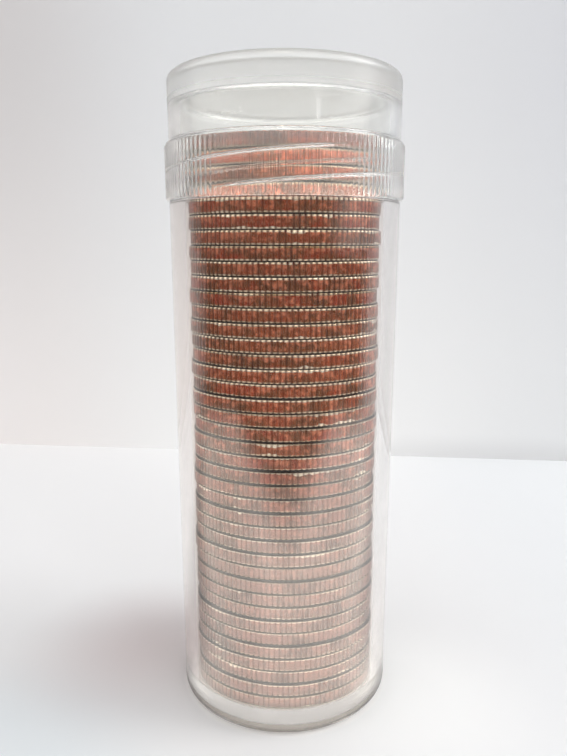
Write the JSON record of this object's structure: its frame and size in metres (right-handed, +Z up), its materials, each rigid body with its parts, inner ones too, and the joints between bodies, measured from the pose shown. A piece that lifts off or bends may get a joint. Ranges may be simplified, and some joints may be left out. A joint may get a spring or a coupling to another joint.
{
  "type": "coin tube",
  "caption": "Round clear rigid coin tube with a threaded screw cap, standing upright on its foot ring and full of reeded clad coins.",
  "frame": {"origin": "centre of the foot ring, on the surface that the tube stands on", "axes": "+Z up along the tube's axis towards the cap, -Y towards the front"},
  "size_m": [0.0298, 0.0298, 0.0808],
  "materials": {
    "clear_tube": "clear moulded, polished, faintly grey",
    "clear_cap": "clear moulded, polished, faintly hazy",
    "clad_coin": "copper core between nickel-grey faces, worn and toned"
  },
  "bodies": {
    "tube": {"tube": "clear_tube"},
    "bottom_coin": {"coin_01": "clad_coin"},
    "cap": {"screw_cap": "clear_cap"},
    "coin_stack": {"coin_02": "clad_coin", "coin_03": "clad_coin", "coin_04": "clad_coin", "coin_05": "clad_coin", "coin_06": "clad_coin", "coin_07": "clad_coin", "coin_08": "clad_coin", "coin_09": "clad_coin", "coin_10": "clad_coin", "coin_11": "clad_coin", "coin_12": "clad_coin", "coin_13": "clad_coin", "coin_14": "clad_coin", "coin_15": "clad_coin", "coin_16": "clad_coin", "coin_17": "clad_coin", "coin_18": "clad_coin", "coin_19": "clad_coin", "coin_20": "clad_coin", "coin_21": "clad_coin", "coin_22": "clad_coin", "coin_23": "clad_coin", "coin_24": "clad_coin", "coin_25": "clad_coin", "coin_26": "clad_coin", "coin_27": "clad_coin", "coin_28": "clad_coin", "coin_29": "clad_coin", "coin_30": "clad_coin", "coin_31": "clad_coin", "coin_32": "clad_coin", "coin_33": "clad_coin", "coin_34": "clad_coin", "coin_35": "clad_coin", "coin_36": "clad_coin", "coin_37": "clad_coin", "coin_38": "clad_coin", "coin_39": "clad_coin", "coin_40": "clad_coin"}
  },
  "joints": [
    {"name": "cap_turn", "type": "hinge", "parent": "tube", "child": "bottom_coin", "pos_m": [0, 0, 0], "axis": [0, 0, 1], "range_deg": [0, 720]},
    {"name": "cap_rise", "type": "slide", "parent": "bottom_coin", "child": "cap", "axis": [0, 0, 1], "range_m": [0, 0.01281]},
    {"name": "coin_rise", "type": "slide", "parent": "tube", "child": "coin_stack", "axis": [0, 0, 1], "range_m": [0, 0.0046]}
  ],
  "couplings": [
    {"joint": "cap_rise", "follows": "cap_turn", "m_per_rad": 0.0010186}
  ]
}
